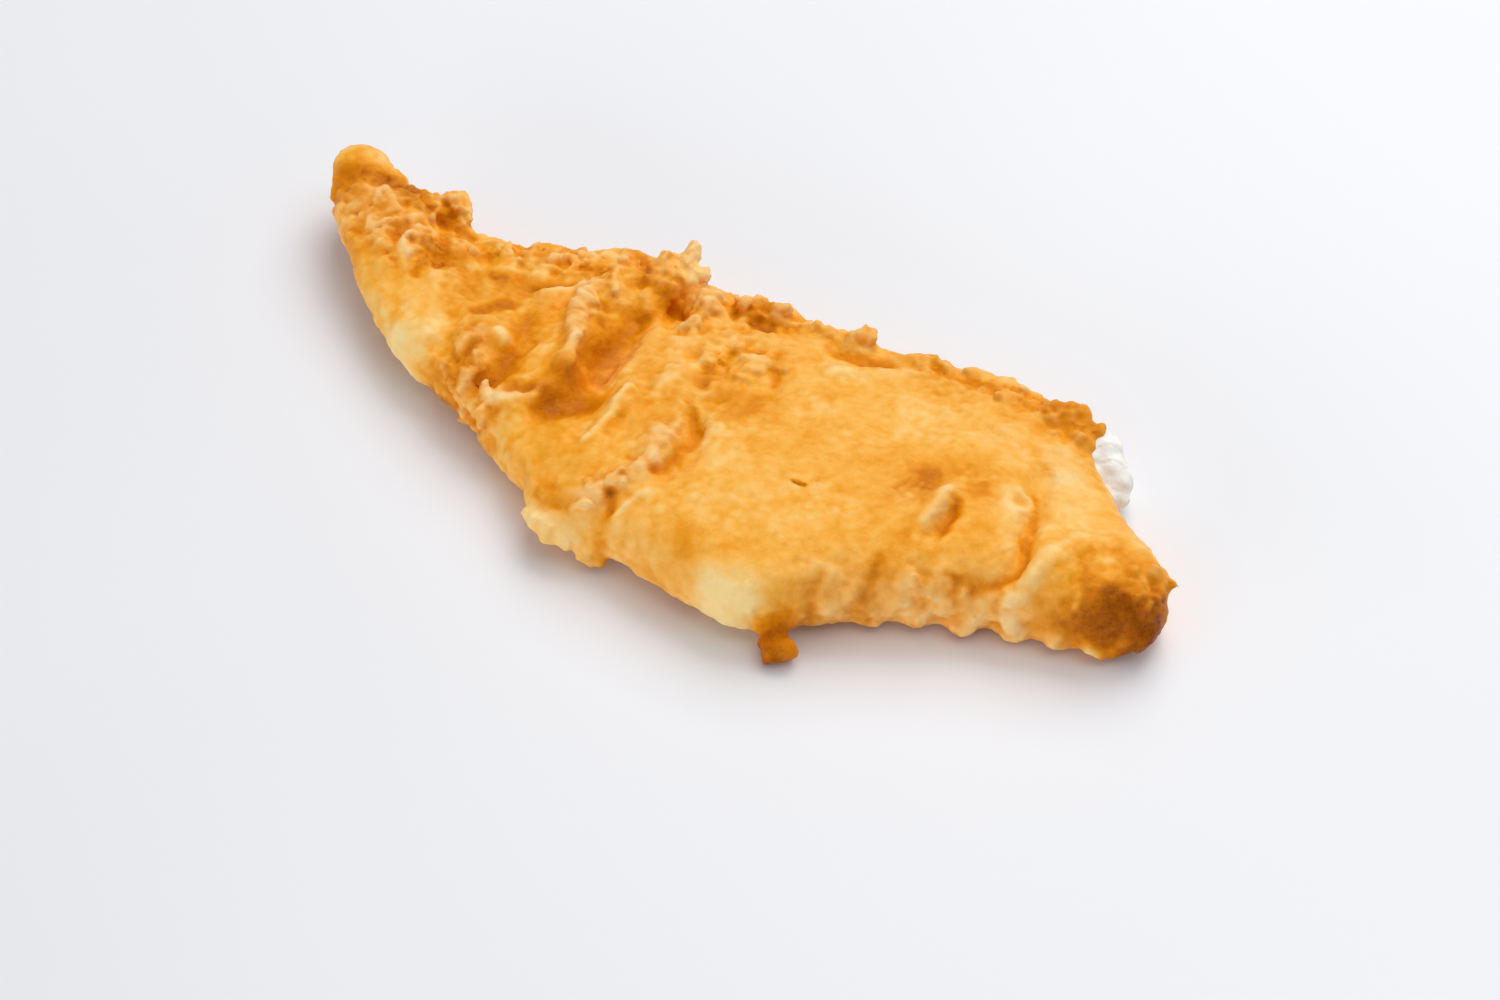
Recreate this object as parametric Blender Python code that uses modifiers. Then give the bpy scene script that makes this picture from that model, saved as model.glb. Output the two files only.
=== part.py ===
"""A fried fish fillet: a crisp batter crust round white fish flesh, lying on its flat underside.

The thick end points to +X and the tail to -X, and +Z is up. Sizes are in millimetres and become
metres where the objects are made. The flesh runs through the fillet and comes out of the crust at
the back of the thick end.
"""

import math

import bmesh
import bpy
import numpy as np
from mathutils import Vector, noise

MM = 0.001
SEED = 4.0

# Where the fillet's frame has its origin: under the middle of its box.
SHIFT = (15.2, -2.9, 0.0)

# The fillet's plan and thickness. Each row is one cross-section: its place along the fillet, its
# front edge, its back edge, how far its underside is off the table, and how thick it is near the
# front edge and near the back edge.
SECTIONS = [
    (-135, 10, 24, 9.0, 11, 11),
    (-128, 5, 24, 8.0, 13, 12),
    (-118, -3, 20, 7.0, 13, 12),
    (-106, -12, 19, 5.5, 13, 12),
    (-94, -19, 17, 3.5, 14, 12),
    (-82, -25, 21, 1.6, 16, 12),
    (-70, -27, 29, 0.2, 17, 13),
    (-56, -29, 36, -0.6, 18, 13),
    (-40, -37, 37, -0.8, 18, 13),
    (-26, -43, 39, -0.8, 19, 14),
    (-8, -44, 42, -0.8, 21, 14),
    (14, -45, 46, -0.8, 22, 14),
    (30, -44, 51, -0.8, 22, 14),
    (42, -33, 53, -0.8, 22, 14),
    (58, -20, 49, -0.8, 22, 14),
    (68, -14, 40, -0.8, 21, 14),
    (80, -8, 30, -0.8, 20, 15),
    (92, -4, 23, -0.6, 19, 16),
    (104, 2, 16, 0.2, 16, 15),
]
TAIL_ROUND = 9.0
END_ROUND = 12.0
WAIST = 0.42
TAIL_SOFTNESS = 0.9
BODY_SOFTNESS = 0.58
SOFTNESS_FROM = -115.0
SOFTNESS_TO = -60.0

# Folds of the batter on top: how high each stands (below 0 for a crease), how wide it is, and the
# points of the line that it follows.
FOLDS = [
    (-1.1, 3.2, (-127, 5), (-120, 10), (-113, 16)),
    (-2.0, 2.2, (-99, 13), (-94, 12)),
    (-1.8, 2.0, (-95, 7), (-92, 2)),
    (-1.8, 2.2, (-66, 0), (-71, -7)),
    (-1.5, 2.0, (-67, 5), (-62, 14)),
    (1.2, 2.0, (-64, 4), (-60, 13)),
    (-1.8, 4.0, (-62, -2), (-57, -9)),
    (-2.0, 3.8, (-57, -14), (-55, -21)),
    (1.9, 2.2, (-62, -12), (-61, -12)),
    (1.4, 2.0, (-64, -18), (-62, -25)),
    (3.2, 3.0, (-53, 22), (-54, 15), (-52, 5), (-47, -4), (-43, -11)),
    (1.4, 5.0, (-49, 20), (-47, 14)),
    (-3.8, 4.2, (-43, 15), (-40, 3), (-39, -8)),
    (-2.6, 5.2, (-36, -10), (-34, -17), (-39, -24)),
    (1.8, 2.1, (-44, -20), (-47, -26), (-54, -25)),
    (1.4, 1.9, (-28, -7), (-25, -18), (-24, -27)),
    (1.3, 3.0, (-24, 6), (-19, -4), (-15, -14)),
    (-3.2, 2.6, (-9, -9), (-5, -14), (-2, -20), (-4, -27)),
    (2.4, 2.6, (-12, -19), (-8, -29), (-13, -36), (-15, -42)),
    (-2.2, 2.0, (-9, -38), (-8, -44)),
    (-2.4, 2.2, (-27, -38), (-26, -43), (-20, -43)),
    (-3.4, 3.2, (-41, 25), (-35, 21)),
    (-1.8, 3.0, (-50, 32), (-46, 24)),
    (1.9, 2.2, (-34, 31), (-30, 21)),
    (-1.9, 2.8, (-21, 31), (-15, 30)),
    (-1.0, 2.0, (-8, 23), (-4, 16), (1, 7), (2, -2)),
    (-1.4, 2.4, (-17, 13), (-15, 6), (-18, 0)),
    (-1.7, 2.4, (1, 32), (7, 34), (13, 38)),
    (1.0, 3.0, (6, 26), (17, 34)),
    (-1.4, 3.4, (41, 12), (47, 5)),
    (-1.3, 3.2, (52, 14), (57, 8)),
    (2.0, 2.1, (50, 4), (50, -5)),
    (-2.2, 2.0, (54, -1), (55, -8)),
    (-3.0, 2.4, (63, 24), (66, 15), (70, 7), (74, -2), (74, -8), (69, -11)),
    (1.7, 3.2, (77, -8), (78, 0), (82, 9), (87, 18)),
    (-1.6, 2.0, (43, -24), (48, -32)),
    (-1.5, 2.0, (58, -14), (60, -20)),
]

# Crags and crumbs that stand out past the smooth form: their radius at each end, and the points of
# the line that each follows.
CRAGS = [
    (3.4, 3.2, (-109, 15, 13), (-104, 19, 13), (-98, 17, 12)),
    (2.2, 1.7, (-103, 20, 14), (-101, 23, 15)),
    (2.8, 2.4, (-92, 15, 10), (-88, 17, 10)),
    (2.6, 2.4, (-77, 22, 10), (-72, 25, 10)),
    (3.2, 2.8, (-64, 29, 9), (-58, 33, 10)),
    (2.6, 2.4, (-54, 33, 10), (-49, 34, 9)),
    (3.4, 2.3, (-42, 19, 12), (-43, 29, 14), (-44, 36, 16)),
    (2.3, 1.9, (-44, 35, 16), (-45, 40, 17)),
    (2.5, 2.0, (-44, 33, 15), (-40, 34, 15)),
    (2.6, 2.4, (-26, 35, 10), (-21, 37, 10)),
    (2.6, 1.8, (1, 39, 11), (4, 43, 13)),
    (2.8, 2.4, (15, 42, 10), (22, 45, 10)),
    (2.8, 2.4, (32, 47, 10), (38, 49, 10)),
    (3.6, 2.4, (52, 45, 11), (57, 47, 12), (61, 46, 12)),
    (3.4, 2.6, (58, 44, 9), (61, 42, 11)),
    (3.4, 3.0, (90, 16, 14), (97, 15, 13)),
    (1.9, 1.5, (97, 15, 12), (101, 17, 12)),
    (4.4, 4.0, (93, 2, 5), (100, 5, 6)),
    (3.6, 3.0, (33, -37, 5), (37, -42, 3.5)),
    (3.2, 3.0, (37, -42, 3), (40, -42, 4)),
    (5.0, 4.4, (-28, -40, 9), (-19, -43, 8.5), (-11, -42, 7)),
    (2.4, 2.0, (-14, -44, 3), (-11, -44, 4)),
    (4.6, 4.2, (49, -20, 8), (48, -22, 4)),
    (4.2, 4.0, (57, -16, 7), (57, -17, 4)),
    (4.6, 4.4, (66, -11, 7), (66, -12, 4)),
    (4.2, 4.0, (76, -6, 8), (76, -7, 4)),
    (4.0, 3.8, (85, -3, 8), (85, -4, 4)),
    (3.0, 2.6, (-62, -26, 5), (-55, -28, 5)),
    (2.8, 2.6, (-50, -31, 5), (-44, -34, 6)),
]
CRAG_STEP = 2.0

# How rough the batter is: crumbly over the tail and the left of the middle, smooth on the broad top.
LUMP_SIZE = 7.5
ROUGH_LUMPS = 2.0
SMOOTH_LUMPS = 0.6
UNDER_LUMPS = 0.2
ROUGH_UNTIL = -32.0
SMOOTH_FROM = 6.0

# The flesh: how far it is under the crust's surface, where it starts, its gap to the crust, the
# flakes that come out at the back, and how much lower its top is under the crust's main hollow.
FLESH_DEPTH = 4.4
FLESH_FROM = -104.0
FLESH_GAP = 0.35
FLAKES = [
    (5.4, (61, 38, 7), (66, 43, 7)),
    (4.6, (64, 37, 6), (70, 41, 5.5)),
    (3.6, (68, 34, 5.5), (73, 37, 4.5)),
]
FLESH_DIP = 3.6
DIP_AT = -39.0
DIP_WIDTH = 11.0

BODY_ROWS = 190
BODY_SPOKES = 110
FLESH_ROWS = 24
FLESH_SPOKES = 18
REMESH = 1.15
CRUST_TRIANGLES = 9400


def smooth_step(value, low, high):
    """0 below low, 1 above high, and an even turn between them."""
    share = np.clip((np.asarray(value, float) - low) / (high - low), 0.0, 1.0)
    return share * share * (3.0 - 2.0 * share)


def along(x, column):
    """A column of SECTIONS at any x, on a smooth curve through the rows."""
    at = np.array([row[0] for row in SECTIONS], float)
    values = np.array([row[column] for row in SECTIONS], float)
    slopes = np.gradient(values, at)
    x = np.clip(x, at[0], at[-1])
    i = np.clip(np.searchsorted(at, x, side="right") - 1, 0, len(at) - 2)
    step = at[i + 1] - at[i]
    t = (x - at[i]) / step
    return (
        values[i] * (1 + 2 * t) * (1 - t) ** 2
        + values[i + 1] * t * t * (3 - 2 * t)
        + slopes[i] * step * t * (1 - t) ** 2
        - slopes[i + 1] * step * t * t * (1 - t)
    )


def end_round(x, start, stop):
    """How much of its full section the fillet has at x: 1 in the middle and 0 at its two tips."""
    from_tail = np.clip((x - start) / TAIL_ROUND, 0.0, 1.0)
    from_end = np.clip((stop - x) / END_ROUND, 0.0, 1.0)
    return np.sqrt(1 - (1 - from_tail) ** 2) * np.sqrt(1 - (1 - from_end) ** 2)


def form(x, angle, start, inset):
    """Points of the fillet's smooth form. Angle 0 is the back edge and a quarter turn the top."""
    size = end_round(x, start, SECTIONS[-1][0] - inset)
    front, back = along(x, 1) + inset, along(x, 2) - inset
    low = np.maximum(along(x, 3), 0.0) + inset if inset else along(x, 3)
    thick_front, thick_back = along(x, 4) - 2 * inset, along(x, 5) - 2 * inset
    if inset:
        dip = FLESH_DIP * np.exp(-(((x - DIP_AT) / DIP_WIDTH) ** 2))
        thick_front, thick_back = thick_front - dip, thick_back - dip
    softness = TAIL_SOFTNESS + (BODY_SOFTNESS - TAIL_SOFTNESS) * smooth_step(
        x, SOFTNESS_FROM, SOFTNESS_TO
    )
    c, s = np.cos(angle), np.sin(angle)
    across = np.sign(c) * np.abs(c) ** softness
    rise = np.abs(s) ** softness
    thick = thick_front + (thick_back - thick_front) * smooth_step(0.5 + 0.5 * across, 0.25, 1.05)
    middle = low + WAIST * thick
    y = 0.5 * (front + back) + 0.5 * (back - front) * across * size
    up = middle + (1 - WAIST) * thick * rise * size
    down = middle - WAIST * thick * rise * size
    return np.stack([x, y, np.where(s >= 0, up, down)], -1)


def to_line(x, y, points):
    """The distance in plan from each place to the line through the points."""
    best = np.full(np.shape(x), 1e9)
    for (ax, ay), (bx, by) in zip(points, points[1:]):
        dx, dy = bx - ax, by - ay
        t = np.clip(((x - ax) * dx + (y - ay) * dy) / (dx * dx + dy * dy), 0.0, 1.0)
        best = np.minimum(best, np.hypot(x - ax - t * dx, y - ay - t * dy))
    return best


def folds(x, y):
    """How far the top stands above or below the smooth form, from the listed folds."""
    total = np.zeros(np.shape(x))
    for height, width, *points in FOLDS:
        total += height * np.exp(-((to_line(x, y, points) / width) ** 2))
    return total


def lumps(points):
    """Uneven batter: how far each point moves out, strong where the crust is crumbly."""
    rough = 1 - smooth_step(points[:, 0], ROUGH_UNTIL, SMOOTH_FROM)
    flank = smooth_step(points[:, 1], -4.0, -12.0) * (1 - smooth_step(points[:, 0], -84.0, -72.0))
    size = SMOOTH_LUMPS + (ROUGH_LUMPS - SMOOTH_LUMPS) * rough * (1 - flank)
    values = [
        noise.noise(Vector(p) / LUMP_SIZE + Vector((SEED, 0, 0)))
        + 0.5 * noise.noise(Vector(p) / (0.45 * LUMP_SIZE) + Vector((0, SEED, 0)))
        for p in points
    ]
    return size * np.array(values)


def stations(rows, start, stop):
    """Places along the fillet, closer together near its two tips."""
    turn = np.linspace(0.0, math.pi, rows + 2)[1:-1]
    return start + (stop - start) * (0.45 * turn / math.pi + 0.55 * (0.5 - 0.5 * np.cos(turn)))


def placed(point):
    return Vector([(p + s) * MM for p, s in zip(point, SHIFT)])


def new_object(name, mesh, collection):
    obj = bpy.data.objects.new(name, mesh)
    collection.objects.link(obj)
    return obj


def fillet_solid(name, collection, rows, spokes, start, inset=0.0):
    """The fillet's form as one closed mesh. Without an inset it has the folds and the lumps."""
    angles = np.linspace(0.0, 2 * math.pi, spokes, endpoint=False)
    places = stations(rows, start, SECTIONS[-1][0] - inset)
    x, angle = np.meshgrid(places, angles, indexing="ij")
    points = form(x.ravel(), angle.ravel(), start, inset)
    if not inset:
        up = np.sin(angle.ravel())
        out = np.stack([0 * up, np.cos(angle.ravel()), up], -1)
        rough = UNDER_LUMPS + (1 - UNDER_LUMPS) * smooth_step(up, -0.9, -0.3)
        points[:, 2] += folds(points[:, 0], points[:, 1]) * smooth_step(up, 0.25, 0.85)
        points += out * (lumps(points) * rough)[:, None]
    bm = bmesh.new()
    verts = [bm.verts.new(placed(p)) for p in points]
    rings = [verts[i * spokes : (i + 1) * spokes] for i in range(rows)]
    for one, two in zip(rings, rings[1:]):
        for j in range(spokes):
            k = (j + 1) % spokes
            bm.faces.new((one[j], two[j], two[k], one[k]))
    for ring in (rings[0], rings[-1]):
        tip = bm.verts.new(sum((v.co for v in ring), Vector()) / spokes)
        for j in range(spokes):
            bm.faces.new((ring[j], ring[(j + 1) % spokes], tip))
    bmesh.ops.recalc_face_normals(bm, faces=bm.faces)
    mesh = bpy.data.meshes.new(name)
    bm.to_mesh(mesh)
    bm.free()
    return new_object(name, mesh, collection)


def ball(name, collection, centre, radius, detail, squash=1.0):
    bm = bmesh.new()
    bmesh.ops.create_icosphere(bm, subdivisions=detail, radius=radius * MM)
    for v in bm.verts:
        v.co.z *= squash
        v.co += placed(centre)
    mesh = bpy.data.meshes.new(name)
    bm.to_mesh(mesh)
    bm.free()
    return new_object(name, mesh, collection)


def chain(name, collection, first, last, points, detail=2):
    """Balls along a line, close enough to overlap, that go from the first radius to the last."""
    points = [Vector(p) for p in points]
    lengths = [(b - a).length for a, b in zip(points, points[1:])]
    whole, gone = sum(lengths), 0.0
    for a, b, length in zip(points, points[1:], lengths):
        steps = max(1, round(length / CRAG_STEP))
        for i in range(steps + (gone + length >= whole - 1e-6)):
            share = (gone + length * i / steps) / whole
            at = a.lerp(b, i / steps)
            swell = 1 + 0.16 * noise.noise(at * 0.9 + Vector((SEED, SEED, 0)))
            radius = (first + (last - first) * share) * swell
            ball(f"{name}_{share:.2f}", collection, at, radius, detail)
        gone += length


def apply(obj, kind, **settings):
    """Adds one modifier and makes its result the object's mesh."""
    modifier = obj.modifiers.new(kind.title(), kind)
    for key, value in settings.items():
        setattr(modifier, key, value)
    graph = bpy.context.evaluated_depsgraph_get()
    mesh = bpy.data.meshes.new_from_object(obj.evaluated_get(graph))
    obj.modifiers.clear()
    obj.data = mesh


def join_all(obj, collection):
    """Unites the object with everything in the collection, then removes the collection's objects."""
    apply(obj, "BOOLEAN", operation="UNION", operand_type="COLLECTION", collection=collection)
    for other in list(collection.objects):
        bpy.data.objects.remove(other, do_unlink=True)


def slab(name, collection, depth):
    """A block under the table's level, which cuts the resting face flat."""
    mesh = bpy.data.meshes.new(name)
    bm = bmesh.new()
    bmesh.ops.create_cube(bm, size=1.0)
    for v in bm.verts:
        v.co = Vector((v.co.x * 0.4, v.co.y * 0.2, (v.co.z - 0.5) * depth * MM))
        v.co += placed((0, 0, 0))
    bm.to_mesh(mesh)
    bm.free()
    obj = new_object(name, mesh, collection)
    obj.display_type = "WIRE"
    obj.hide_render = True
    return obj


def painted(obj, name, colour, roughness):
    material = bpy.data.materials.new(name)
    material.use_nodes = True
    shader = material.node_tree.nodes["Principled BSDF"]
    shader.inputs["Base Color"].default_value = (*colour, 1.0)
    shader.inputs["Roughness"].default_value = roughness
    obj.data.materials.clear()
    obj.data.materials.append(material)


def main():
    for obj in list(bpy.data.objects):
        bpy.data.objects.remove(obj, do_unlink=True)
    fillet = bpy.data.collections.new("fried_fish_fillet")
    helpers = bpy.data.collections.new("cutters")
    bpy.context.scene.collection.children.link(fillet)
    bpy.context.scene.collection.children.link(helpers)
    helpers.hide_render = True

    # The crust's outside: the form with its folds, then the crags and crumbs joined to it.
    crust = fillet_solid("batter_crust", fillet, BODY_ROWS, BODY_SPOKES, SECTIONS[0][0])
    for i, (first, last, *points) in enumerate(CRAGS):
        chain(f"crag_{i}", helpers, first, last, points)
    join_all(crust, helpers)
    apply(crust, "REMESH", mode="VOXEL", voxel_size=REMESH * MM)
    apply(crust, "SMOOTH", factor=0.5, iterations=1)
    faces = 2 * len(crust.data.polygons)
    apply(crust, "DECIMATE", ratio=CRUST_TRIANGLES / faces, use_collapse_triangulate=True)
    apply(crust, "BOOLEAN", operation="DIFFERENCE", object=slab("table_level", helpers, 12.0))

    # The flesh, and a slightly larger copy of it that hollows the crust.
    for name, collection, grow in (("fish_flesh", fillet, 0.0), ("hollow", helpers, FLESH_GAP)):
        inset = FLESH_DEPTH - grow
        body = fillet_solid(name, collection, FLESH_ROWS, FLESH_SPOKES, FLESH_FROM - grow, inset)
        pieces = bpy.data.collections.new("pieces")
        helpers.children.link(pieces)
        for i, (radius, *points) in enumerate(FLAKES):
            chain(f"flake_{i}", pieces, radius + grow, 0.85 * radius + grow, points)
        join_all(body, pieces)
        body.display_type = "WIRE" if grow else "TEXTURED"
        body.hide_render = bool(grow)
    hollow = bpy.data.objects["hollow"]
    apply(crust, "BOOLEAN", operation="DIFFERENCE", object=hollow)
    painted(crust, "golden_batter", (0.66, 0.31, 0.06), 0.5)
    painted(bpy.data.objects["fish_flesh"], "white_flesh", (0.86, 0.83, 0.79), 0.55)


main()
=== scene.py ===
"""The look of the fried fish fillet: its craggy golden crust and the white flesh at its back.

Places are in millimetres in the fillet's own plan: X from the tail (-) to the thick end (+), Y from
the front edge (-) to the back edge (+), and Z up. MIDDLE moves them into the frame.
"""

import math
from contextlib import contextmanager

import bmesh
import bpy
import numpy as np
from mathutils import Matrix, Vector, noise
from mathutils.bvhtree import BVHTree

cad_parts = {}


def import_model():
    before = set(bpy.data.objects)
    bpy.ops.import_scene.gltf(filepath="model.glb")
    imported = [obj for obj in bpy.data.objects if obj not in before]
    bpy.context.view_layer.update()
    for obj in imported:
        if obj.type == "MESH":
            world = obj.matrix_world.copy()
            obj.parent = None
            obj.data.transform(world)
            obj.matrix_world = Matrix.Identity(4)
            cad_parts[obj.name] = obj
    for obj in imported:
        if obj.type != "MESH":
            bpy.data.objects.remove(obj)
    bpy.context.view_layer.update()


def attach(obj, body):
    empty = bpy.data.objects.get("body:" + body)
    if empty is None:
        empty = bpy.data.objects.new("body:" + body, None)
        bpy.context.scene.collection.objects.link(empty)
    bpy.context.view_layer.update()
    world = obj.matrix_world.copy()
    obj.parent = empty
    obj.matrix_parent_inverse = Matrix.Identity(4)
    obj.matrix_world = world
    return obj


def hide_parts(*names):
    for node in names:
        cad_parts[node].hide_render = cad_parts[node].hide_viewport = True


MM = 0.001
MIDDLE = Vector((15.2, -2.9, 0.0))
SEED = 11

# The camera: what it looks at, how far off, the angles it looks from, and its lens.
CAMERA_TARGET = (5.3, -7.3, 0.0)
CAMERA_DISTANCE = 800.0
CAMERA_AZIMUTH = 36.0
CAMERA_ELEVATION = 46.0
CAMERA_LENS = 85.0

# The lights: the azimuth counted from the camera's, the elevation, the distance, the width and the
# height in metres, the power in watts, and the colour.
LIGHTS = {
    "window": (155.0, 50.0, 1.7, 1.2, 1.2, 16.0, (1.0, 0.99, 0.97)),
    "overhead": (90.0, 68.0, 1.6, 1.6, 1.6, 9.0, (1.0, 0.99, 0.98)),
    "front": (-48.0, 10.0, 1.7, 1.8, 0.45, 12.0, (0.97, 0.99, 1.0)),
}
SKY_COLOUR = (0.88, 0.95, 1.0, 1.0)
SKY_STRENGTH = 0.35

# Colours as they show on a screen, at places along a ramp. The batter's run from pale to brown: its
# smooth gold, and the duller tan of its crumbs.
GOLD_COLOURS = (
    (0.04, (255, 220, 150)),
    (0.22, (255, 204, 120)),
    (0.42, (253, 181, 74)),
    (0.56, (245, 160, 36)),
    (0.68, (231, 139, 6)),
    (0.80, (209, 117, 0)),
    (0.90, (172, 87, 0)),
    (1.00, (120, 52, 2)),
)
TAN_COLOURS = (
    (0.08, (255, 212, 150)),
    (0.38, (252, 185, 104)),
    (0.66, (226, 142, 52)),
    (1.00, (130, 62, 8)),
)
FLESH_COLOURS = ((0.30, (248, 238, 224)), (0.55, (255, 251, 245)), (0.80, (255, 254, 251)))
FLOOR_COLOURS = ((0.3, (237, 236, 239)), (0.7, (241, 240, 243)))

# How finely the pieces are remeshed: the crust first to round off the solid's facets, then for its
# crumbs, and the flesh.
ROUNDED_VOXEL = 0.9
FINE_VOXEL = 0.63
FLESH_VOXEL = 1.0

# Rounds of smoothing: off the solid's facets, off the crumbs, for the broad form that raised places
# stand out of, for the relief that fine crests stand out of, and off the flesh.
FACET_ROUNDS = 9
CRUMB_ROUNDS = 2
BROAD_ROUNDS = 60
RELIEF_ROUNDS = 14
FLESH_ROUNDS = 4

# The skin below this height is the resting face and its edge, which the first smoothing leaves flat.
RESTING_HEIGHT = 0.6

# The lining of the crust's hollow is nearer to the flesh than the first of these, and the grooves
# leave as much batter over the flesh as the second.
LINING_GAP = 0.7
LEAST_BATTER = 0.8

# How much of each mark below is used, so that all of them can be made stronger or calmer at once.
RIDGE_SHARE = 0.62
GROOVE_SHARE = 0.55
PALE_SHARE = 0.8
DEEP_SHARE = 0.95

# Marks that overlap add up in full to the first of these depths of frying. Past it they only come
# near the second, so that none turns black.
GOLDEN = 0.52
DEEPEST = 0.97

# How far noise moves the edges of the marks, and the way the small folds run and are drawn out.
WOBBLE = 0.7
FOLD_RUN = (0.48, -0.88, 0.0)
FOLD_STRETCH = 0.62

# Loose crumbs: how many, how likely they are where the batter is bare, and how long, wide and high
# each may be for its size.
CRUMB_COUNT = 900
BARE_CHANCE = 0.004
CRUMB_STRETCH = ((0.9, 1.9), (0.7, 1.1), (0.55, 0.85))

# Lines that several of the tables below follow: the crumbly ridge of the great fold and the pale one
# below it, the ridge along the main crease, the finger of batter, and the puffs along the front.
GREAT_FOLD = ((-57, 15.5), (-53.5, 8), (-50.5, 2), (-47, -4))
LOWER_RIDGE = ((-56.5, -25), (-52.5, -27.5), (-48.5, -25), (-44.5, -20.5))
CREASE_RIDGE = ((-10.5, -15), (-8.4, -25), (-10, -32), (-12.4, -38), (-15.5, -42.5))
FINGER = ((50.6, 4.6), (52.0, -0.6), (51.8, -7.0))
PUFFS = ((44, -32), (58, -22), (72, -14), (86, -11))

# Bits that stand out of the solid's rougher crags: a place and a radius.
BITS = [
    # The branched spur at the back.
    (-44, 22, 12, 3.4), (-43, 26, 14, 3.2), (-43.5, 30, 15.5, 3.0), (-46.5, 29.5, 14, 2.4),
    (-46, 33, 15.5, 2.2), (-42.5, 34, 16, 2.5), (-39.5, 33.5, 15, 2.2), (-38.3, 34.5, 15.2, 1.7),
    (-43, 36.5, 17, 1.8), (-43.5, 38.4, 17.8, 1.4), (-47, 32, 16.2, 2.6), (-48.5, 28.5, 14.6, 2.8),
    (-48, 24.5, 13, 3.0), (-41, 31, 14, 2.6), (-39.5, 30.5, 12.5, 2.4),
    # The horn behind the tail.
    (-101.5, 17.5, 11.5, 2.4), (-100.5, 20, 12, 2.0), (-98.6, 19.4, 12.4, 1.7),
    (-103.5, 18.5, 12, 1.8), (-100.3, 22, 12.8, 1.3), (-100.4, 14.6, 13.8, 2.1),
    (-99.0, 16.2, 13.4, 2.1), (-101.6, 16.0, 13.4, 1.9),
    # Low bumps on the back edge.
    (-26, 32.5, 13, 2.2), (-17, 36.5, 13.5, 1.8), (-8, 37.5, 13.0, 1.3), (3.6, 41, 13.2, 1.3),
    # The corner crag.
    (56.4, 46.5, 11, 2.2), (59.4, 45, 11, 1.9), (60.6, 42.5, 11, 1.6), (57.6, 48.0, 11.4, 1.4),
    # A curl of pale crust low on the end lobe, and a crumb at the end.
    (92.8, -3.2, 4.2, 1.5), (95.0, -1.8, 3.0, 1.6), (97.2, -0.2, 2.8, 1.6), (98.8, 0.6, 4.2, 1.4),
    (99.6, 15.4, 11.0, 1.6), (98.2, 15.6, 11.0, 1.6),
    # The tongue of the flap, the crumbs that hang below it, and the foot of the drip.
    (-26.6, -45.2, 8.0, 2.4), (-23.8, -46.2, 7.6, 2.8), (-20.4, -46.4, 7.4, 3.0), (-17, -45.6, 6.8, 3.0),
    (-12.2, -46, 4.5, 1.8), (-10.2, -45.2, 3.2, 1.6), (-8.4, -44.8, 3.4, 1.4),
    (36.4, -42, 4, 3.0), (38.6, -42.4, 3, 2.8), (37.4, -44.4, 2.4, 2.2), (40, -41.6, 2.4, 2.2),
]

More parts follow.
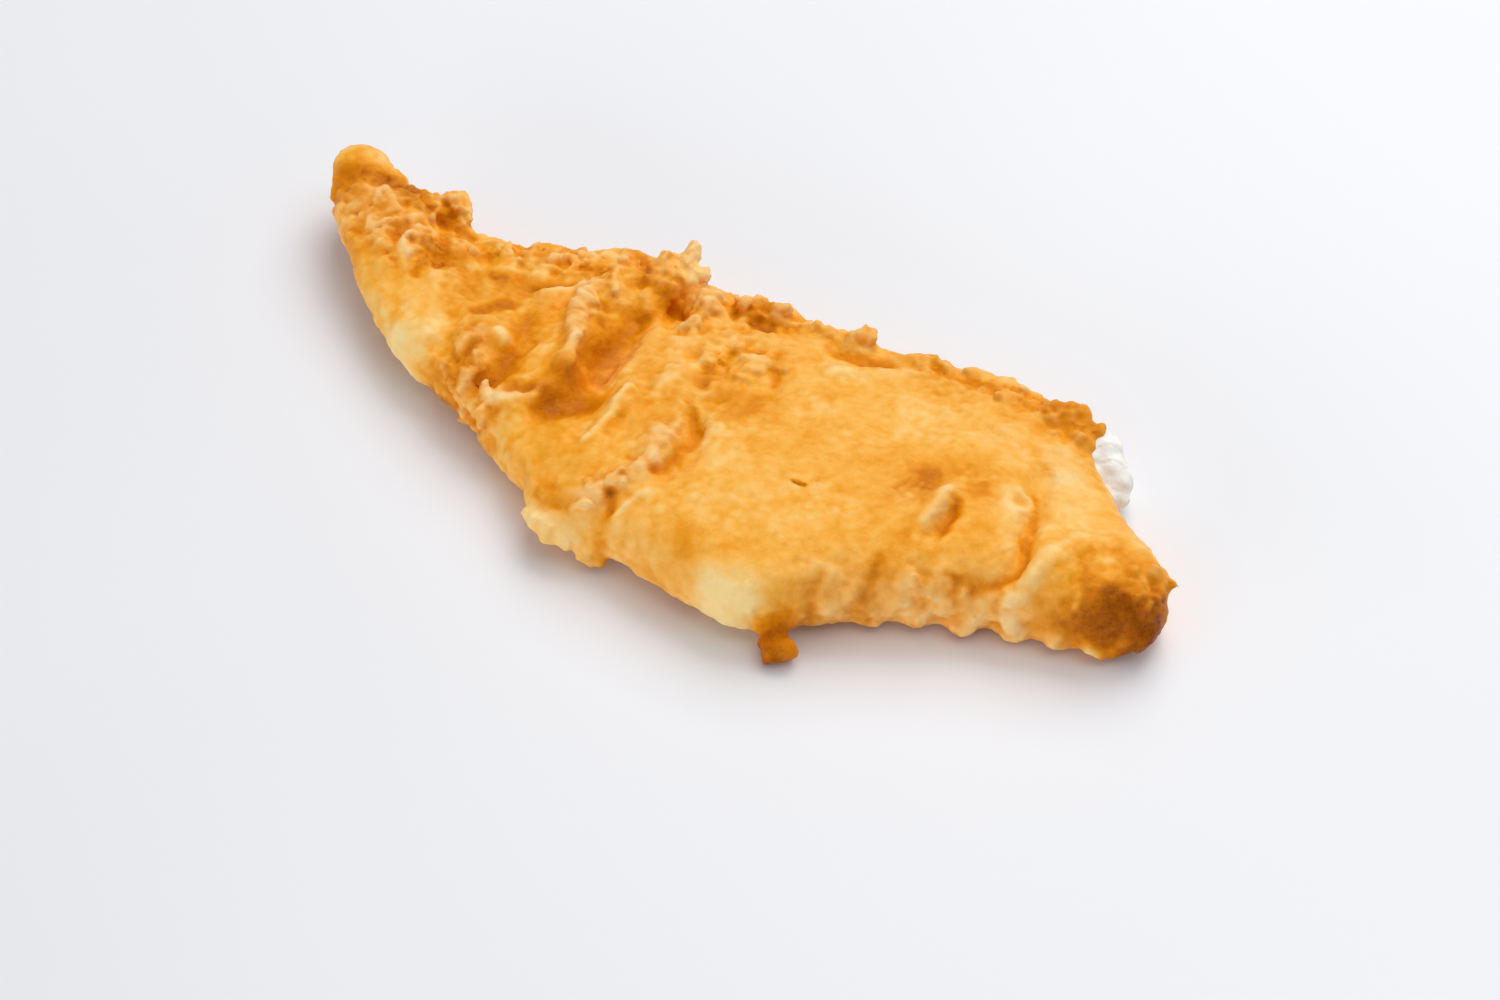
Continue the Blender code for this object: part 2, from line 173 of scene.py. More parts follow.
# What shows in the batter, place by place: how far it stands out (below 0, how deep it lies), how
# much deeper it is fried (below 0, paler), its half width, and the spot or the line that it follows,
# with a Z where it is on a wall of the fillet and not on its top.
MARKS = [
    # The smooth knob at the tail's tip, with a brown arc across it.
    (-0.4, 0.40, 3.0, (-125, 5), (-126, 9), (-122.5, 12), (-117, 13.6), (-112, 14.4)),
    (-0.2, 0.22, 2.4, (-116, 14.5), (-111, 14.5)),
    (0.3, 0.12, 5.0, (-130, 14)),
    (0.0, 0.16, 3.0, (-130, 2), (-126, 0)),
    # The crumbly part of the tail: brown dips, and pale lumps between them.
    (-0.3, 0.30, 1.8, (-103, 13), (-98.5, 13.4), (-92, 13)),
    (-0.3, 0.26, 1.5, (-109, 14), (-105, 13)),
    (-0.5, 0.36, 1.5, (-96.5, 2.5), (-94, 5)),
    (-0.4, 0.24, 1.4, (-92, -2), (-91.5, -6)),
    (-0.3, 0.14, 1.6, (-113, 3), (-112, 6)),
    (0.0, 0.26, 2.2, (-90, 1), (-86, 6)),
    (-0.3, 0.14, 1.2, (-93, -9), (-92, -8)),
    (0.9, -0.12, 1.8, (-104, 8), (-102, 10)),
    (0.9, -0.14, 2.2, (-118, 8), (-115, 6)),
    (0.7, -0.12, 1.7, (-100, -1), (-97, -4)),
    (0.6, -0.10, 1.5, (-110, -1), (-108, 1)),
    (0.7, -0.10, 1.3, (-88, 10), (-84, 13)),
    (0.0, 0.12, 3.0, (-114, -6), (-110, -9)),
    # The smooth flank below it, palest at its foot.
    (0.0, -0.06, 5.0, (-103, -11), (-96, -18)),
    (0.0, 0.12, 3.0, (-88, -15), (-84, -16)),
    (0.0, -0.42, 3.4, (-84, -24), (-79, -27.6)),
    (0.0, -0.14, 5.0, (-84, -14), (-76, -18)),
    (0.0, 0.14, 4.0, (-70, -24), (-66, -28)),
    # A brown line low on the flank's wall: painted shade along the edge that meets the floor.
    (0.0, 0.46, 1.6, (-72, -26, 5), (-67, -28, 4.6), (-62, -28.5, 5)),
    # The neck: glossy orange hollows, a pale bump and pale strips.
    (-0.5, 0.24, 4.0, (-79, 2), (-74, 5)),
    (0.7, -0.14, 1.3, (-83, 3), (-77, 9), (-70, 12)),
    (-0.3, 0.14, 1.5, (-77, 4), (-75, 5)),
    (-0.9, 0.50, 1.4, (-72.1, -8.9), (-71, -4.9), (-68.9, -1.3)),
    (0.7, -0.06, 1.6, (-69, -10.5), (-65.5, -6), (-64.5, -1)),
    (-0.8, 0.30, 1.3, (-67, 6.5), (-64, 9.5), (-61, 13)),
    (0.9, -0.20, 1.3, (-65.5, 5.5), (-61, 8.5), (-58.5, 12.5)),
    (1.2, -0.62, 1.7, (-62.5, -10.8), (-60.2, -12)),
    (-0.5, 0.34, 3.6, (-62, -3), (-58, -8)),
    (-0.9, 0.44, 2.6, (-57.5, -14), (-55.5, -19.5), (-57.5, -24)),
    (0.9, -0.22, 1.6, (-62.5, -18), (-60.2, -22), (-60.5, -27)),
    (-0.6, 0.26, 1.2, (-64.5, -18), (-64.5, -24)),
    (0.6, -0.10, 1.3, (-67, -13), (-66.5, -20)),
    (0.8, -0.42, 1.1, (-56.5, -25.6), (-52.5, -28.4), (-48.2, -26.2), (-44.2, -21.8)),
    (0.6, -0.20, 1.1, (-53, -20), (-49.5, -17)),
    (-0.5, 0.26, 1.4, (-50.5, -23), (-47, -20)),
    # The great fold: its crumbly ridge, its broad brown top, and the deep hollow behind it.
    (1.5, -0.10, 2.1, *GREAT_FOLD),
    (0.9, -0.20, 1.3, (-47, -4), (-42.5, -11)),
    (0.9, -0.06, 2.0, (-51, 17.5), (-47.5, 15)),
    (-0.2, 0.04, 3.0, (-48.5, 12), (-46, 7)),
    (-0.5, 0.34, 0.7, (-49.6, 10.5), (-49, 9.5)),
    (-0.5, 0.34, 0.7, (-47, 6.6), (-46.4, 6)),
    (-0.9, 0.48, 2.6, (-42.4, 15), (-42.4, 8), (-42.0, 2), (-41.8, -4)),
    (0.0, 0.12, 3.4, (-38.4, 1), (-36.4, -5)),
    (-0.9, 0.50, 4.4, (-41, -13), (-36, -16), (-40, -20)),
    (0.0, 0.26, 2.2, (-31.5, -14), (-34, -19.8), (-42.5, -23.5)),
    # Round the spur.
    (-1.0, 0.40, 2.4, (-41, 23), (-35.5, 22)),
    (-0.6, 0.30, 2.6, (-51, 31), (-47.5, 24)),
    (0.0, -0.44, 4.0, (-46.5, 30, 15), (-44, 34, 16), (-43.5, 38, 18)),
    (0.0, -0.20, 2.4, (-41, 33, 15), (-38, 34, 15)),
    (0.7, -0.14, 1.7, (-33.5, 30), (-30, 24), (-31, 18)),
    (0.6, -0.08, 2.2, (-66, 24), (-58, 27)),
    (-0.5, 0.16, 2.0, (-62, 19), (-57, 22)),
    # The fore part: thin pale ridges, the main crease, and the flap with its pocket.
    (1.0, -0.22, 0.9, (-27.5, -8), (-25.6, -15), (-25, -23), (-26, -28.5)),
    (-0.3, 0.14, 1.2, (-23.6, -16), (-22.8, -23)),
    (0.6, -0.10, 1.5, (-21, 0), (-21, -8)),
    (-0.2, 0.10, 2.6, (-32, 5), (-28, 0)),
    (0.8, -0.14, 2.6, (-10.5, -17), (-9, -25), (-9.6, -31), (-12, -37.5), (-15.5, -42.5)),
    (-0.4, 0.10, 0.8, (-11.5, -26.5), (-6.5, -27)),
    (-0.4, 0.10, 0.8, (-13.5, -33.5), (-8.5, -33)),
    (-0.3, 0.16, 1.7, (-10.3, -7.4), (-7, -10.7), (-5.5, -15.6), (-4.7, -21.7)),
    (0.5, -0.08, 0.8, (-12, -11), (-9.4, -15), (-8.2, -20)),
    (-0.5, 0.16, 0.8, (-12.6, -19.4), (-9, -22.6)),
    (-0.5, 0.16, 0.8, (-14, -27.6), (-10, -29.4)),
    (-1.1, 0.14, 1.0, (-12.7, -5.4), (-9.6, -8), (-6.4, -11.4), (-5.2, -16), (-4.4, -21.7),
     (-5.6, -25), (-7.4, -28)),
    (0.5, -0.10, 1.4, (-7.5, -6), (-4.6, -9.6)),
    (0.4, -0.12, 0.9, (-2.4, -7.6), (-0.8, -10)),
    (0.0, 0.12, 1.8, (-18.5, -3.5), (-17, -6)),
    (0.5, -0.04, 2.4, (-14, -2), (-12, -5)),
    (-0.8, 0.36, 1.2, (-10.6, -37), (-8.9, -40.6)),
    (-0.4, 0.16, 1.3, (-8.9, -40.6), (-8.6, -44.5)),
    (0.7, -0.22, 1.1, (-3.6, -34), (-7.6, -41)),
    (-0.4, 0.22, 1.7, (-26, -40.5), (-22, -42.6)),
    (-1.3, 0.18, 1.1, (-28, -43), (-25.4, -44), (-20, -43.6), (-16, -42.8)),
    (0.0, -0.40, 3.2, (-26, -46, 9), (-17, -46.5, 8)),
    (0.0, 0.12, 5.0, (-31, -28), (-26, -30)),
    # Behind the crease, up to the back edge.
    (0.8, -0.20, 1.3, (-21, 8.6), (-19.8, 6.8)),
    (-0.7, 0.28, 1.5, (-18, 9), (-16, 5), (-15, 2)),
    (0.5, -0.12, 3.2, (-20, 20), (-15, 14)),
    (-0.6, 0.30, 1.3, (-16, 17), (-12, 20)),
    (-0.5, 0.22, 0.9, (-8.3, 23), (-6, 18), (-3, 13)),
    (0.4, -0.10, 2.2, (-11, 16), (-8, 13)),
    (-0.8, 0.36, 2.2, (-21.5, 31), (-17.5, 30)),
    (-0.3, 0.22, 1.7, (-7.4, 0.6), (-6, 0)),
    (-0.2, 0.14, 2.0, (-2.2, -2.6), (0, 8)),
    (-0.7, 0.28, 1.6, (1, 33), (8, 35), (12, 37)),
    (0.5, 0.16, 2.0, (22, 37), (34, 41), (46, 44)),
    (-0.4, 0.22, 1.4, (24, 41), (36, 44)),
    (0.6, -0.12, 2.2, (6, 25), (14, 32), (19, 36)),
    (-0.3, 0.18, 1.0, (27, 34), (27.5, 34)),
    # The smooth plateau, with one small dark pit.
    (-1.5, 0.80, 0.5, (20.9, -13.2), (23.7, -12.7)),
    (0.2, -0.10, 2.4, (7, -14), (8.4, -16.4)),
    (0.2, -0.10, 2.0, (3.4, -17), (4, -19)),
    (0.0, -0.08, 9.0, (14, 20), (40, 26)),
    (0.0, -0.06, 6.0, (14, -22), (22, -24)),
    (0.0, 0.14, 2.6, (8, -37), (11.2, -40.6)),
    (0.0, -0.54, 3.6, (21.6, -44.6), (30, -43)),
    (0.0, -0.10, 3.6, (24, -40), (31, -38)),
    (0.0, 0.12, 3.0, (37, -37, 12), (38, -36, 6)),
    # Hollows, a finger of batter and a burst bubble on the thick end.
    (-0.5, 0.34, 2.3, (43, 7), (45.5, 3)),
    (-0.2, 0.18, 4.0, (43, 9), (50, 14)),
    (-0.3, 0.24, 1.8, (54.5, 11), (56, 9)),
    (1.2, -0.26, 1.4, *FINGER),
    (-0.6, 0.16, 0.6, (40.4, -1.8), (41.5, 3.0)),
    (0.6, -0.06, 0.9, (43.4, -3.6), (45.2, 2.2)),
    (-0.9, 0.40, 1.2, (54.2, 3.0), (55.2, -0.8), (55.4, -6.0)),
    (-0.3, 0.18, 1.3, (50.2, -11.5), (50.6, -12)),
    (0.6, -0.20, 1.25, (66.1, 12.2), (64.8, 15.3), (61.6, 15.6), (59.8, 12.8), (61.2, 9.8),
     (64.4, 9.4), (66.1, 12.2)),
    (-0.5, 0.0, 1.3, (62.6, 12.6), (63.6, 12.4)),
    (0.3, -0.18, 2.4, (65, 8), (69, 0.5)),
    (0.0, -0.20, 3.6, (60.5, 34), (66, 27)),
    (0.0, -0.18, 5.5, (68, 27), (75, 17), (80, 12)),
    (0.0, 0.10, 2.0, (57.5, 30), (60, 24)),
    # The curved fold in front of the end lobe, and the pale lip behind it.
    (-0.8, 0.20, 0.6, (65.4, 18), (67.9, 11.2), (70.8, 5.5)),
    (-1.3, 0.28, 0.8, (70.8, 5.5), (73.4, -0.1), (74.1, -5.0), (71.6, -8.3), (68.6, -11.8)),
    (-0.2, 0.12, 2.0, (68.6, 11), (71, 4)),
    (-0.6, 0.16, 0.9, (68.6, -11.8), (63, -13.6)),
    (0.9, -0.28, 2.2, (78.6, 3), (78, -4), (77, -10)),
    # The end lobe, browner low on its front and right walls, with a dark spot on top.
    (0.0, 0.20, 2.2, (83.5, 7), (87, 3)),
    (0.3, 0.20, 5.0, (88, 12), (94, 13)),
    (0.4, -0.10, 1.8, (90.5, 18.6), (93, 18.4)),
    (0.0, 0.72, 6.0, (94.5, -2.5, 11), (99, 1, 9), (102, 4, 8)),
    (0.0, 0.36, 4.5, (92.5, -3, 14), (95.7, 1.7, 15)),
    (0.0, 0.60, 4.0, (101.8, 8, 12), (103, 5, 5), (100, -1, 3)),
    (-0.9, 0.90, 2.1, (94.4, 2.8, 16.6), (96.4, 2.2, 16)),
    (0.0, 0.16, 6.0, (84, -9, 9), (88, -8, 9)),
    (0.7, -0.30, 1.5, (96.4, 11, 16), (97.6, 9.6, 15)),
    (0.7, -0.30, 0.9, (88.2, -1.6, 16.4), (89.4, -4.6, 14.6)),
    (0.7, -0.30, 0.9, (87.2, 8.2, 18.1), (89.2, 9.2, 18)),
    (0.7, -0.34, 0.9, (98.0, 7.4, 15.8), (99, 8.8, 15.2)),
    (0.8, -0.62, 1.3, (92.6, -4.6, 4.6), (96, -1.4, 2.6), (98.6, 0.2, 4.6), (99.4, 0.6, 6.6)),
    # The puffs along the front of the thick end, with grooves between them.
    (-0.8, 0.24, 1.1, (48.6, -20), (49.6, -25.6), (48.6, -31)),
    (-0.5, 0.12, 1.0, (40.5, -30), (41, -36)),
    (-0.6, 0.12, 1.1, (59, -16), (58.6, -20)),
    (-0.7, 0.14, 1.1, (65, -13), (66.4, -17)),
    (-0.6, 0.12, 0.9, (73.5, -11), (74.6, -13)),
    (0.4, -0.10, 1.8, (44.6, -26.9, 16.5), (44, -30.5, 9)),
    (0.6, -0.14, 2.2, (55.7, -20.3, 15), (57.1, -21, 8)),
    (0.4, -0.12, 1.8, (62.5, -16.9, 12), (63.5, -18, 7)),
    (0.6, -0.18, 2.0, (71.1, -12, 12.5), (70, -13.8, 7)),
    (0.4, -0.16, 1.6, (77, -9.9, 9), (78, -9, 5)),
    # The drip below the front edge, and the corner crag.
    (0.0, 0.95, 4.2, (36.4, -42.4, 4), (39, -44, 2)),
    (0.0, 0.14, 2.6, (34, -41, 8), (37, -40, 9)),
    (0.0, 0.28, 4.0, (53, 47), (61, 46)),
]

# Rounded lumps of flesh that come out behind the crust: a place and a radius. They lie round LUMP.
LUMP = (66.0, 42.0, 6.0)
FLAKES = [
    (63.0, 47.4, 9.8, 3.2), (66.2, 45.4, 9.4, 4.0), (69.6, 42.4, 8.0, 3.8), (72.2, 41.0, 6.0, 3.8),
    (74.6, 38.4, 4.2, 2.6),
]

# Where loose crumbs cling: how thickly, over what half width, and along what line.
CRUMBLY = [
    (0.9, 5.0, (-119, 5), (-108, 4), (-97, 0)),
    (0.7, 3.0, (-110, 13), (-101, 18)),
    (0.5, 4.0, (-93, 10), (-72, 18), (-56, 26)),
    (0.3, 2.6, (-56, 19), (-54, 13)),
    (0.5, 3.0, (-66, -18), (-62, -28), (-52, -32)),
    (0.5, 3.0, (-34, 31), (-30, 20)),
    (0.25, 2.6, (-11, -34), (-16, -40)),
    (0.5, 3.0, (-30, 34), (-12, 38), (4, 42)),
    (0.3, 4.0, (-16, 12), (-4, 18)),
    (0.3, 3.0, (20, 42), (50, 48)),
    (0.6, 3.0, (54, 45), (62, 43)),
    (0.5, 3.0, (97, 14), (101, 6)),
]

# Where the batter is rougher than CRUMBLY makes it, or smoother: by how much (below 0 for smoother),
# over what half width, and along what line.
ROUGHER = [
    (-0.6, 8, (-104, -13), (-84, -21)),
    (-0.6, 8, (-132, 14), (-127, 8)),
    (-0.6, 5, (-43, 10), (-41, 0), (-38, -6)),
    (-0.6, 6, (-36, -4), (-36, -18), (-42, -23)),
    (-0.6, 8, (-38, -30), (-28, -26)),
    (-0.6, 4, (-26, -46), (-17, -46)),
    (-0.6, 4, (-72, -6), (-66, -1)),
    (-0.6, 4, (-60, -4), (-56, -19)),
    (0.5, 3, *GREAT_FOLD),
    (0.4, 3, *LOWER_RIDGE),
    (0.5, 3, *CREASE_RIDGE),
    (0.2, 6, *PUFFS[1:]),
    (0.3, 4, (43, -2), (45, 2)),
    (0.3, 8, (90, 0), (99, 6)),
    (0.25, 10, (-24, 24), (-13, 8), (-9, 0)),
]

# Where crumbs dull the gold to a pinkish tan: how much, over what half width, and along what line.
TAN = [
    (0.35, 9.0, (-117, 5), (-104, 4)),
    (0.45, 2.6, *GREAT_FOLD, (-42.5, -11)),
    (0.50, 2.2, *LOWER_RIDGE),
    (0.40, 2.4, (-66, -14), (-61.5, -18), (-60.2, -27)),
    (0.80, 4.0, (-38.4, 2), (-36.4, -6)),
    (0.55, 3.4, *CREASE_RIDGE),
    (0.45, 3.0, (-46, 28), (-42, 37)),
    (0.35, 2.4, (-33.5, 30), (-30, 24)),
    (0.40, 4.5, (-26, -46), (-17, -46)),
    (0.55, 2.4, *FINGER),
    (0.40, 4.0, (43, -2), (45, 2)),
    (0.35, 4.0, (62, 13), (63, 12)),
    (0.45, 4.0, (60.5, 34), (66, 27)),
    (0.70, 7.0, (44, -32), (58, -22), (72, -14), (84, -11)),
    (0.30, 8.0, (-2, -44), (14, -46)),
]


def linear(red, green, blue):
    """A colour given as it shows on a screen, from 0 to 255, as Blender's shaders take it."""
    parts = [c / 255 for c in (red, green, blue)]
    return tuple(c / 12.92 if c <= 0.04045 else ((c + 0.055) / 1.055) ** 2.4 for c in parts)


def smooth_step(value, low, high):
    """0 below low, 1 above high, and a soft turn between them."""
    share = np.clip((np.asarray(value, float) - low) / (high - low), 0.0, 1.0)
    return share * share * (3.0 - 2.0 * share)


def to_line(points, line):
    """The distance from each point to a line: in plan, or in space where the line's points have a Z."""
    ends = np.array(line, float)
    places = points[:, : ends.shape[1]]
    best = np.full(len(points), 1e9)
    for start, along in zip(ends, np.diff(ends, axis=0)):
        t = np.clip((places - start) @ along / (along @ along), 0.0, 1.0)
        best = np.minimum(best, np.linalg.norm(places - start - t[:, None] * along, axis=1))
    return best


def near(points, width, *line):
    """1 on the line or spot, a third of that at the width, and about 0 at twice the width."""
    if len(line) == 1:
        line = (line[0], (line[0][0] + 0.1, *line[0][1:]))
    return np.exp(-((to_line(points, line) / width) ** 2))


def wavy(points, size, seed, octaves=1):
    """Soft noise from about -1 to 1 at each point, with waves about this many millimetres long."""
    total, weight = np.zeros(len(points)), 1.0
    for i in range(octaves):
        at = points / (size * 0.5**i) + (seed, 3.1 * i, 7.7)
        total += weight * np.array([noise.noise(p) for p in at.tolist()])
        weight *= 0.5
    return total * 1.6


def patches(points, size, seed, share, octaves=1):
    """Soft patches of noise: 1 in them and 0 out of them. A larger share covers more."""
    return np.clip(wavy(points, size, seed, octaves) + share, 0.0, 1.0)


def pebbly(points, size, seed):
    """Rounded cells like crumbs: 1 at the middle of each and 0 between them."""
    at = points / size + (seed, 0.0, seed)
    first = np.array([noise.voronoi(p)[0][0] for p in at.tolist()])
    return np.clip(1.0 - (first / 0.62) ** 2, 0.0, 1.0)


class Skin:
    """A mesh's points and edges as arrays, with its points in the fillet's millimetres."""

    def __init__(self, mesh):
        self.mesh = mesh
        count = len(mesh.vertices)
        flat = np.empty(count * 3)
        mesh.vertices.foreach_get("co", flat)
        self.points = flat.reshape(-1, 3) / MM - np.array(MIDDLE)
        ends = np.empty(len(mesh.edges) * 2, int)
        mesh.edges.foreach_get("vertices", ends)
        self.ends = ends.reshape(-1, 2)
        self.degree = np.maximum(np.bincount(ends, minlength=count), 1)

    def average(self, values):
        """Each point's mean over its neighbours."""
        a, b = self.ends[:, 0], self.ends[:, 1]
        count = len(self.degree)
        if values.ndim == 1:
            total = np.bincount(a, values[b], count) + np.bincount(b, values[a], count)
            return total / self.degree
        return np.stack([self.average(values[:, i]) for i in range(values.shape[1])], -1)

    def smoothed(self, values, rounds, keep_size=False):
        """The values smoothed over the surface. With keep_size, thin pieces don't shrink."""
        for _ in range(rounds):
            values = values + 0.5 * (self.average(values) - values)
            if keep_size:
                values = values - 0.52 * (self.average(values) - values)
        return values

    def store(self):
        """Moves the mesh to the points."""
        flat = ((self.points + np.array(MIDDLE)) * MM).ravel()
        self.mesh.vertices.foreach_set("co", flat)
        self.mesh.update()

    def normals(self):
        """The direction out of the surface at each point."""
        self.store()
        flat = np.empty(len(self.points) * 3)
        self.mesh.vertices.foreach_get("normal", flat)
        return flat.reshape(-1, 3)

    def attribute(self, name, values):
        """Keeps one value for each point under a name that a material can read."""
        layer = self.mesh.attributes.new(name, "FLOAT", "POINT")
        layer.data.foreach_set("value", np.ascontiguousarray(values, np.float32))


@contextmanager
def editing(mesh):
    """The mesh as a BMesh, which is written back when the block ends."""
    bm = bmesh.new()
    bm.from_mesh(mesh)
    yield bm
    bm.to_mesh(mesh)
    bm.free()


def surface_of(piece):
    """The piece's surface, for finding the nearest place on it."""
    bm = bmesh.new()
    bm.from_mesh(piece.data)
    tree = BVHTree.FromBMesh(bm)
    bm.free()
    return tree


def new_piece(name, mesh):
    piece = bpy.data.objects.new(name, mesh)
    bpy.context.scene.collection.objects.link(piece)
    return piece


def remeshed(piece, voxel):
    """Makes the piece one closed skin of even small faces."""
    modifier = piece.modifiers.new("Remesh", "REMESH")
    modifier.mode = "VOXEL"
    modifier.voxel_size = voxel * MM
    graph = bpy.context.evaluated_depsgraph_get()
    mesh = bpy.data.meshes.new_from_object(piece.evaluated_get(graph))
    piece.modifiers.clear()
    piece.data = mesh


def outside_of(crust, flesh):
    """A copy of the crust's solid without the hollow that the flesh fills, closed again."""
    inner = surface_of(flesh)
    piece = new_piece("crust_skin", crust.data.copy())
    with editing(piece.data) as bm:
        bmesh.ops.remove_doubles(bm, verts=bm.verts, dist=0.001 * MM)
        lining = [v for v in bm.verts if inner.find_nearest(v.co, LINING_GAP * MM)[0] is not None]
        bmesh.ops.delete(bm, geom=lining, context="VERTS")
        bmesh.ops.holes_fill(bm, edges=[e for e in bm.edges if e.is_boundary], sides=0)
        bmesh.ops.triangulate(bm, faces=[f for f in bm.faces if len(f.verts) > 4])
    return piece


def craggy(points):
    """How crumbly the batter is at each point: 1 where it is rough all over and 0 where it is smooth."""
    x, y = points[:, 0], points[:, 1]
    rough = 0.10 + 0.34 * (1.0 - smooth_step(x, -34, 2))
    rough += 0.22 * smooth_step(y, 22, 36)
    for thickness, width, *line in CRUMBLY:
        rough = rough + 0.62 * thickness * near(points, 1.5 * width, *line)
    for share, width, *line in ROUGHER:
        rough = rough + share * near(points, width, *line)
    return np.clip(rough, 0.0, 1.0)


def tanned(points):
    """How far the gold turns to tan at each point, from 0 to 1."""
    share = np.zeros(len(points))
    for strength, width, *line in TAN:
        share = np.maximum(share, strength * near(points, width, *line))
    return share


def unit_ball():
    """The points and the faces of a ball of radius 1."""
    ball = bmesh.new()
    bmesh.ops.create_icosphere(ball, subdivisions=3, radius=1.0)
    points = np.array([v.co for v in ball.verts])
    faces = np.array([[v.index for v in f.verts] for f in ball.faces])
    ball.free()
    return points, faces


def crumbs_on(piece):
    """Adds flat, uneven crumbs of batter to the piece, thickest where CRUMBLY says, and the BITS."""
    skin = Skin(piece.data)
    normals = skin.normals()
    draw = np.random.default_rng(SEED)
    chance = BARE_CHANCE * craggy(skin.points)
    for thickness, width, *line in CRUMBLY:
        chance = chance + thickness * near(skin.points, width, *line)
    chance = chance * smooth_step(skin.points[:, 2], 4.0, 8.0) * smooth_step(normals[:, 2], 0.0, 0.4)
    places = draw.choice(len(chance), CRUMB_COUNT, p=chance / chance.sum())
    unit, faces = unit_ball()
    shapes = []
    for k, place in enumerate(places):
        size = 0.75 + 1.15 * draw.random() ** 1.6
        lumpy = unit * (1.0 + 0.28 * wavy(unit, 0.9, 10.0 * k)[:, None])
        shape = lumpy * (size * np.array([draw.uniform(*span) for span in CRUMB_STRETCH]))
        up = Vector(normals[place]) + Vector(draw.normal(size=3)) * 0.3
        spin = Matrix.Rotation(draw.uniform(0, 2 * math.pi), 3, "Z")
        turn = up.to_track_quat("Z", "X").to_matrix() @ spin
        centre = skin.points[place] + normals[place] * size * draw.uniform(-0.15, 0.2)
        shapes.append(shape @ np.array(turn).T + centre)
    for k, (x, y, z, radius) in enumerate(BITS):
        lumpy = unit * (radius * (1.0 + 0.25 * wavy(unit, 0.8, 5.0 * k + 0.5)))[:, None]
        shapes.append(lumpy + (x, y, z))
    points = (np.concatenate(shapes) + np.array(MIDDLE)) * MM
    polygons = np.concatenate([faces + k * len(unit) for k in range(len(shapes))])
    crumbs = bpy.data.meshes.new("crumbs")
    crumbs.from_pydata(points.tolist(), [], polygons.tolist())
    with editing(piece.data) as bm:
        bm.from_mesh(crumbs)
    bpy.data.meshes.remove(crumbs)


def wobbled(points):
    """The points moved a little in plan, so that no mark has a ruled edge."""
    shifts = np.stack([wavy(points, 8, 12.0, 3), wavy(points, 8, 13.0, 3), np.zeros(len(points))], -1)
    return points + WOBBLE * shifts


def along_folds(points):
    """The points drawn together along the way the folds run, so that noise read there is drawn out."""
    run = np.array(FOLD_RUN)
    return points - FOLD_STRETCH * (points @ run)[:, None] * run


def folded(points):
    """Where small drawn-out folds cover the batter: over the thin end, and behind the main crease."""
    behind = near(points, 12, (-26, 24), (-14, 9), (-11, 1))
    return np.maximum(1.0 - smooth_step(points[:, 0], -60, -18), 0.8 * behind)


def puffy(points):
    """Where the batter stands in rounded puffs: low along the front of the thick end."""
    return near(points, 7.0, *PUFFS) * smooth_step(points[:, 2], 1.0, 4.0)


def batter_relief(skin):
    """The fine relief of fried batter, as how far each point moves out."""
    points = skin.points
    up = smooth_step(skin.normals()[:, 2], -0.2, 0.3)
    rough = craggy(points)
    bent = wobbled(points)
    # Crinkles, which are thin ridges that meet and part, then lumps, patches of crumbs and a grain.
    crinkle = 1.0 - np.abs(wavy(bent, 5.5, 1.0)) - 0.6 * np.abs(wavy(bent, 2.6, 2.0))
    out = 0.95 * rough * (crinkle - 0.58)
    out += 0.45 * rough * wavy(points, 5.0, 7.0)
    out += 0.40 * rough * wavy(points, 2.2, 4.0)
    out += 0.45 * rough * patches(points, 7, 5.0, 0.3) * (pebbly(bent, 2.4, 3.0) - 0.4)
    out += (0.05 + 0.10 * rough) * wavy(points, 1.3, 8.0)
    # Patches of fine, crisp crumbs.
    crisp = patches(points, 5.0, 31.0, 0.25, 2)
    out += 0.7 * rough * crisp * (pebbly(bent, 1.9, 17.0) - 0.3)
    # Small folds, drawn out the same way.
    folds = folded(points) * smooth_step(points[:, 0], -120, -96) * up
    out += folds * (0.25 + 0.6 * rough) * (0.75 - 2.0 * np.abs(wavy(along_folds(bent), 6.5, 21.0)))
    # Rounded puffs low along the front of the thick end.
    out += 0.9 * puffy(points) * (pebbly(bent, 6.0, 14.0) - 0.45 + 0.5 * wavy(bent, 4.2, 33.0, 2))
    # Low blisters and dimples in the smooth batter.
    calm = 1.0 - rough
    out += 0.40 * calm * patches(points, 9, 9.0, 0.1) * (pebbly(bent, 3.4, 6.0) - 0.3)
    out += 0.14 * calm * (pebbly(bent, 1.9, 2.5) - 0.4)
    out += 0.20 * calm * wavy(points, 4.0, 4.0, 2)
    # The ridges and grooves. Those without a Z stay off the underside.
    uneven = RIDGE_SHARE * (1.0 + 0.22 * wavy(points, 3.4, 1.5, 2))
    for height, _, width, *line in MARKS:
        if height:
            share = uneven if height > 0 else GROOVE_SHARE
            out += height * near(bent, width, *line) * share * (up if len(line[0]) == 2 else 1.0)
    return out


